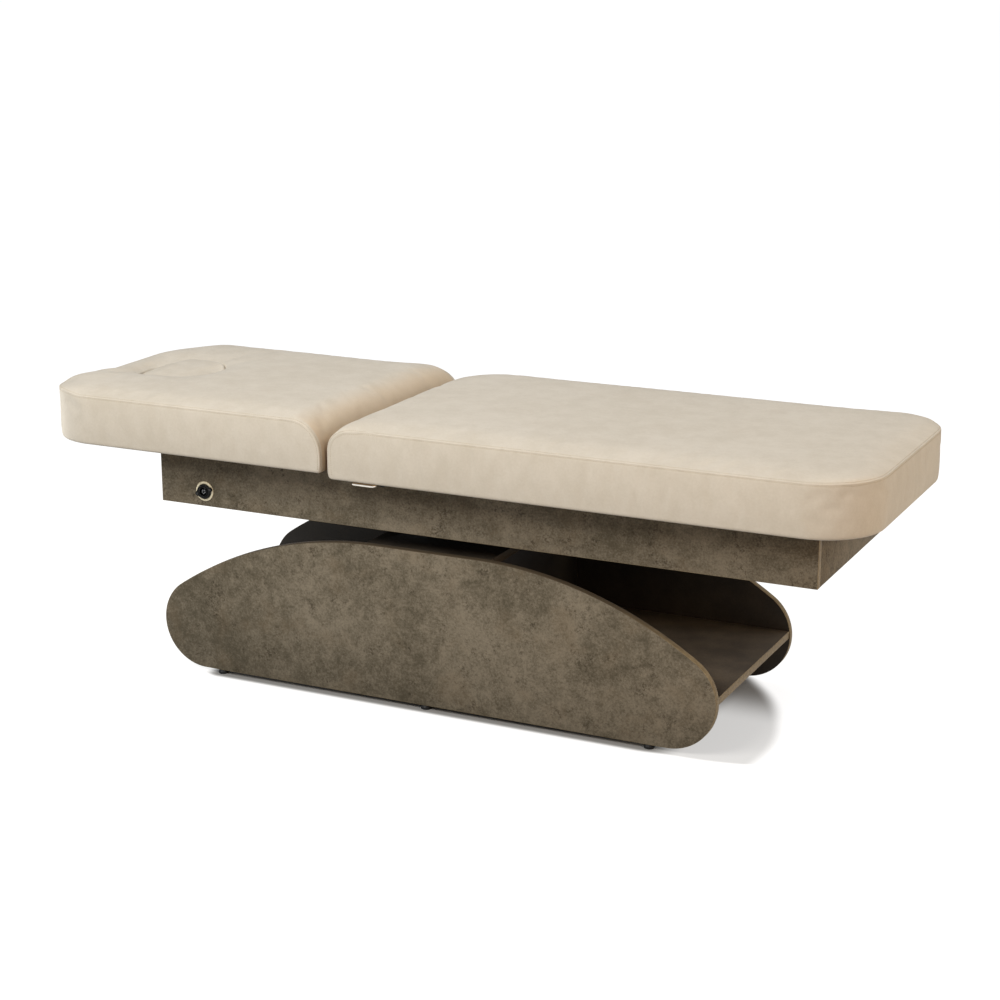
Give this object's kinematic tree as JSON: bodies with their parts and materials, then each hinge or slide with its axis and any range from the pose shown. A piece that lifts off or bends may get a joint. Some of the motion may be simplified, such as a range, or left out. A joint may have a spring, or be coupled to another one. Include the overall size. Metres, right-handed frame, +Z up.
{
  "type": "spa couch",
  "caption": "Spa treatment couch: crowned cushions on a box apron, tilting head section with face hole, telescopic lifting column between egg-shaped laminate side panels with a shelf.",
  "frame": {"origin": "on the floor, under the middle of the mattress at rest", "axes": "+X from the head end to the foot end, +Z up, the long side with the lever and the socket faces -Y"},
  "size_m": [2.01, 0.69, 0.6755],
  "materials": {
    "stone_laminate": "matt taupe stone-look laminate on board, pale edge bands",
    "cream_leatherette": "soft cream coated upholstery over foam",
    "birch_plywood": "raw plywood",
    "black_painted_steel": "satin black paint",
    "grey_painted_steel": "satin grey paint",
    "bright_steel": "ground",
    "chrome": "polished",
    "pale_brass": "satin",
    "black_gloss_plastic": "gloss",
    "black_matte_plastic": "fine grain",
    "guide_plastic": "natural",
    "black_rubber": "matt"
  },
  "bodies": {
    "base": {"side_panel_front": "stone_laminate", "side_panel_rear": "stone_laminate", "shelf_board": "stone_laminate", "housing_panel_head": "stone_laminate", "housing_panel_foot": "stone_laminate", "housing_cover": "stone_laminate", "base_tube_head": "black_painted_steel", "base_tube_foot": "black_painted_steel", "base_plate": "black_painted_steel", "column_outer_tube": "grey_painted_steel", "guide_collar_lower": "guide_plastic", "lift_gearbox": "black_matte_plastic", "lift_motor": "black_painted_steel", "lift_spindle_tube": "bright_steel", "glide_front_head": "black_matte_plastic", "glide_front_middle": "black_matte_plastic", "glide_front_foot": "black_matte_plastic", "glide_rear_head": "black_matte_plastic", "glide_rear_middle": "black_matte_plastic", "glide_rear_foot": "black_matte_plastic"},
    "middle_stage": {"column_middle_tube": "grey_painted_steel", "guide_collar_upper": "guide_plastic", "guide_shoe_lower": "guide_plastic"},
    "top": {"column_inner_tube": "grey_painted_steel", "guide_shoe_upper": "guide_plastic", "column_top_plate": "black_painted_steel", "lift_push_tube": "bright_steel", "apron_front": "stone_laminate", "apron_rear": "stone_laminate", "apron_head": "stone_laminate", "apron_foot": "stone_laminate", "rest_pad_front": "black_rubber", "rest_pad_rear": "black_rubber", "long_rail_front": "black_painted_steel", "long_rail_rear": "black_painted_steel", "cross_rail_head": "black_painted_steel", "cross_rail_spring": "black_painted_steel", "cross_rail_seat": "black_painted_steel", "cross_rail_foot": "black_painted_steel", "control_box": "black_matte_plastic", "socket_bezel": "pale_brass", "control_socket": "black_gloss_plastic", "lever_bush": "black_matte_plastic", "seat_board": "birch_plywood", "seat_cushion": "cream_leatherette", "seat_hinge_leaf_front": "black_painted_steel", "seat_hinge_leaf_rear": "black_painted_steel", "hinge_pin_front": "bright_steel", "hinge_pin_rear": "bright_steel", "spring_frame_bracket": "black_painted_steel", "spring_frame_pin": "bright_steel"},
    "head_section": {"head_board": "birch_plywood", "head_cushion": "cream_leatherette", "head_hinge_leaf_front": "black_painted_steel", "head_hinge_leaf_rear": "black_painted_steel", "spring_board_bracket": "black_painted_steel"},
    "gas_spring_cylinder": {"gas_spring_cylinder": "black_painted_steel"},
    "gas_spring_rod": {"gas_spring_rod": "bright_steel"},
    "release_lever": {"release_lever": "chrome"},
    "face_plug": {"face_plug": "cream_leatherette"}
  },
  "joints": [
    {"name": "lift_lower", "type": "slide", "parent": "base", "child": "middle_stage", "axis": [0, 0, 1], "range_m": [0, 0.14]},
    {"name": "lift_upper", "type": "slide", "parent": "middle_stage", "child": "top", "axis": [0, 0, 1], "range_m": [0, 0.14]},
    {"name": "head_hinge", "type": "hinge", "parent": "top", "child": "head_section", "pos_m": [-0.2245, 0, 0.611], "axis": [0, 1, 0], "range_deg": [0, 65]},
    {"name": "gas_cylinder_pivot", "type": "hinge", "parent": "top", "child": "gas_spring_cylinder", "pos_m": [-0.1045, 0, 0.451], "axis": [0, 1, 0], "range_deg": [0, 31]},
    {"name": "gas_rod_slide", "type": "slide", "parent": "gas_spring_cylinder", "child": "gas_spring_rod", "axis": [-1, 0, 0], "range_m": [0, 0.1377]},
    {"name": "lever_pivot", "type": "hinge", "parent": "top", "child": "release_lever", "pos_m": [-0.122, -0.2615, 0.523], "axis": [0, -1, 0], "range_deg": [0, 20], "stiffness_Nm_per_rad": 2},
    {"name": "plug_lift", "type": "slide", "parent": "head_section", "child": "face_plug", "axis": [0, 0, 1], "range_m": [0, 0.13]}
  ],
  "couplings": [
    {"joint": "lift_upper", "follows": "lift_lower", "ratio": 1},
    {"joint": "gas_cylinder_pivot", "follows": "head_hinge", "ratio": 0.47351},
    {"joint": "gas_rod_slide", "follows": "head_hinge", "m_per_rad": 0.12133}
  ]
}
